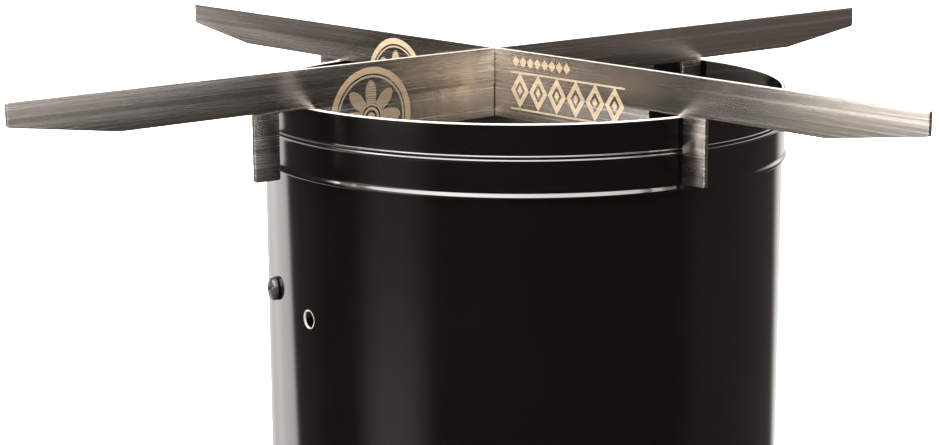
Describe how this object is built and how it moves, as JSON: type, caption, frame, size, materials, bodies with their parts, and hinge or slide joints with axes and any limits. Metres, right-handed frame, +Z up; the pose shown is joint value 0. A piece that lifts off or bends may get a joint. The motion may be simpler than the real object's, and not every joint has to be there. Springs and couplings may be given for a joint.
{
  "type": "propane burner stand",
  "caption": "Open steel cylinder stand for a propane burner, with a ringed rim, vents at the foot, a loose half-lapped pot cross, and a cast burner with valve and hose inlet at the back.",
  "frame": {"origin": "centre of the flat underside, on the cylinder's axis, where the stand rests on the ground", "axes": "+Z up, towards the pot; +Y towards the gas inlet at the back; the pot cross lies on the diagonals between X and Y"},
  "size_m": [0.3436, 0.4116, 0.3471],
  "materials": {
    "black_enamel": "semi-gloss black heat-resistant paint on thin steel sheet",
    "brushed_stainless": "stainless steel brushed along the blade, with tan laser-etched ornament",
    "black_screw": "black oxide, slightly oily",
    "zinc_steel": "bright zinc plate",
    "cast_iron": "rough dark casting",
    "brass": "machined brass",
    "dark_plastic": "fine-grained moulded plastic",
    "fibre": "red-brown fibre seal"
  },
  "bodies": {
    "stand": {"shell": "black_enamel", "top_ring": "black_enamel", "base_pan": "black_enamel", "base_rivet_right": "black_screw", "base_rivet_back": "black_screw", "base_rivet_left": "black_screw", "base_rivet_front": "black_screw", "burner_support_bar": "zinc_steel", "support_screw_right": "black_screw", "support_screw_left": "black_screw", "support_nut_right": "zinc_steel", "support_nut_left": "zinc_steel", "burner_body": "cast_iron", "burner_cap": "cast_iron", "burner_bolt": "zinc_steel", "burner_washer": "zinc_steel", "burner_nut": "zinc_steel", "shutter_spring": "zinc_steel", "gas_orifice": "brass", "valve_body": "brass", "stem_packing": "fibre", "packing_nut": "brass", "inlet_seal": "fibre", "hose_inlet": "brass"},
    "pot_cross": {"cross_blade_a": "brushed_stainless", "cross_blade_b": "brushed_stainless"},
    "shutter": {"air_shutter": "zinc_steel"},
    "valve_spindle": {"valve_stem": "brass", "valve_knob": "dark_plastic", "knob_screw": "zinc_steel"}
  },
  "joints": [
    {"name": "cross_lift", "type": "slide", "parent": "stand", "child": "pot_cross", "axis": [0, 0, 1], "range_m": [0, 0.045]},
    {"name": "shutter_turn", "type": "hinge", "parent": "stand", "child": "shutter", "pos_m": [0, 0.1509, 0.251], "axis": [0, 1, 0], "range_deg": [0, 60]},
    {"name": "valve_turn", "type": "hinge", "parent": "stand", "child": "valve_spindle", "pos_m": [0.03, 0.184, 0.251], "axis": [1, 0, 0], "range_deg": [0, 270]}
  ]
}
